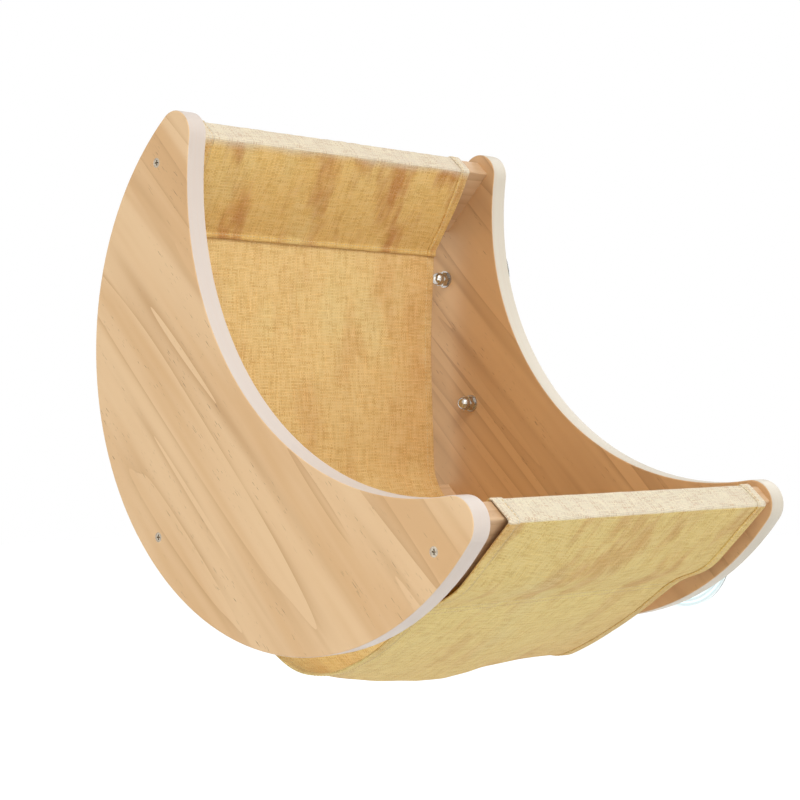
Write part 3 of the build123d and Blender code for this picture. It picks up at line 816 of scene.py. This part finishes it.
def sew(vertices, faces, path, up_at):
    """Even stitches along a path of points."""
    lengths = [0.0]
    for a, b in zip(path, path[1:]):
        lengths.append(lengths[-1] + (b - a).length)

    def at(distance):
        for i in range(1, len(lengths)):
            if lengths[i] >= distance:
                span = lengths[i] - lengths[i - 1]
                return path[i - 1].lerp(path[i], (distance - lengths[i - 1]) / span), i
        return path[-1], len(path) - 1

    for number in range(int((lengths[-1] - STITCH_LENGTH) / STITCH_PITCH)):
        start, index = at(number * STITCH_PITCH)
        end, _ = at(number * STITCH_PITCH + STITCH_LENGTH)
        stitch(vertices, faces, start, end, up_at(index))


def build_stitching():
    """Rows of stitches along both seams, and on both faces of the two side hems."""
    vertices, faces = [], []
    face = CLOTH_THICKNESS / 2

    def off_cloth(normal):
        return Vector((-normal.x, 0, -normal.y))

    middle_normals = CLOTH.column(0.0)[1]
    for row in (TOP_SEAM_FRONT - 1, TOP_SEAM + 1, TOP_SEAM + 3,
                FRONT_SEAM - 1, FRONT_SEAM - 3, FRONT_LAP + 1):
        up = off_cloth(middle_normals[row])
        sew(vertices, faces, seam_path(row, face), lambda index: up)
    last = len(middle_normals) - 2
    for hand in (-1, 1):
        across = hand * (1 - 2 * (HEM_WIDTH - STITCH_INSET) / CLOTH_WIDTH)
        normals = CLOTH.column(across)[1]
        for side, to_right in ((1, HEM_OFFSET + face), (-1, -face)):
            path = hem_path(across, to_right, 1, last)
            sew(vertices, faces, path, lambda index: off_cloth(normals[index]) * side)
    return mesh_object("sling_stitching", vertices, faces, THREAD)


sling, flat_width, flat_length = build_sheet()
stitching = build_stitching()
for piece in (sling, stitching):
    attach(piece, "frame")
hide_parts("sling")


# Floor, light and camera

def is_seen(tree):
    """1 for rays from the camera, from gloss and through glass."""
    path = add(tree, "ShaderNodeLightPath").outputs
    seen = maths(tree, "MAXIMUM", path["Is Camera Ray"], path["Is Glossy Ray"])
    return maths(tree, "MAXIMUM", seen, path["Is Transmission Ray"])


def build_floor():
    """A pale floor that looks white where no shadow falls on it."""
    around = ((-1, -1), (1, -1), (1, 1), (-1, 1))
    corners_of_floor = [(x * FLOOR_HALF, y * FLOOR_HALF, FLOOR_LEVEL) for x, y in around]
    material, tree, shader = new_material("pale_floor", Base_Color=(0.8, 0.8, 0.8, 1), Roughness=0.9)
    glow = add(tree, "ShaderNodeEmission", {"Color": (1, 1, 1, 1), "Strength": 0.6})
    both = add(tree, "ShaderNodeAddShader", {0: shader.outputs[0], 1: glow.outputs[0]})
    mixed = add(tree, "ShaderNodeMixShader", {0: is_seen(tree), 1: shader.outputs[0], 2: both.outputs[0]})
    tree.links.new(mixed.outputs[0], tree.nodes["Material Output"].inputs["Surface"])
    floor = mesh_object("floor", corners_of_floor, [(0, 1, 2, 3)], material, smooth=False)


def build_world():
    """Soft light all round, seen as plain white."""
    world = bpy.data.worlds.new("studio")
    bpy.context.scene.world = world
    world.use_nodes = True
    tree = world.node_tree
    tree.nodes.clear()
    soft = add(tree, "ShaderNodeBackground", {"Color": (0.97, 0.98, 1.0, 1), "Strength": 0.55})
    white = add(tree, "ShaderNodeBackground", {"Color": (1, 1, 1, 1), "Strength": 1.0})
    mixed = add(tree, "ShaderNodeMixShader", {0: is_seen(tree), 1: soft.outputs[0], 2: white.outputs[0]})
    add(tree, "ShaderNodeOutputWorld", {"Surface": mixed.outputs[0]})


def lamp(name, place, target, power, size, colour):
    """A square lamp that faces a target."""
    data = bpy.data.lights.new(name, "AREA")
    data.energy = power
    data.size = size
    data.color = colour
    thing = bpy.data.objects.new(name, data)
    thing.location = place
    thing.rotation_euler = (Vector(target) - Vector(place)).to_track_quat("-Z", "Y").to_euler()
    bpy.context.scene.collection.objects.link(thing)


def build_camera():
    """The camera at the photo's viewing angle."""
    ahead = Vector((-math.sin(CAMERA_AZIMUTH) * math.cos(CAMERA_RISE),
                    math.cos(CAMERA_AZIMUTH) * math.cos(CAMERA_RISE), math.sin(CAMERA_RISE)))
    level = Vector((math.cos(CAMERA_AZIMUTH), math.sin(CAMERA_AZIMUTH), 0))
    upright = level.cross(ahead)
    right = level * math.cos(CAMERA_ROLL) + upright * math.sin(CAMERA_ROLL)
    up = upright * math.cos(CAMERA_ROLL) - level * math.sin(CAMERA_ROLL)
    data = bpy.data.cameras.new("camera")
    data.lens = CAMERA_LENS
    data.sensor_width = 36.0
    data.clip_start = 0.05
    data.clip_end = 60
    thing = bpy.data.objects.new("camera", data)
    thing.matrix_world = Matrix.Translation(CAMERA_PLACE) @ Matrix((right, up, -ahead)).transposed().to_4x4()
    bpy.context.scene.collection.objects.link(thing)
    bpy.context.scene.camera = thing


build_floor()
build_world()
lamp("key", (1.9, -0.9, 1.8), (0, -0.2, 0), 40, 1.4, (1.0, 0.98, 0.95))
lamp("fill", (-0.9, -2.4, 0.5), (0, -0.3, 0), 12, 1.8, (0.97, 0.98, 1.0))
lamp("bounce", (1.9, -1.7, -0.35), (0, -0.2, -0.1), 13, 1.8, (1.0, 0.99, 0.96))
lamp("window", (0.2, 1.6, 0.9), (0, -0.1, 0), 14, 1.6, (0.96, 0.98, 1.0))
build_camera()

view = bpy.context.scene.view_settings
view.view_transform = "Standard"
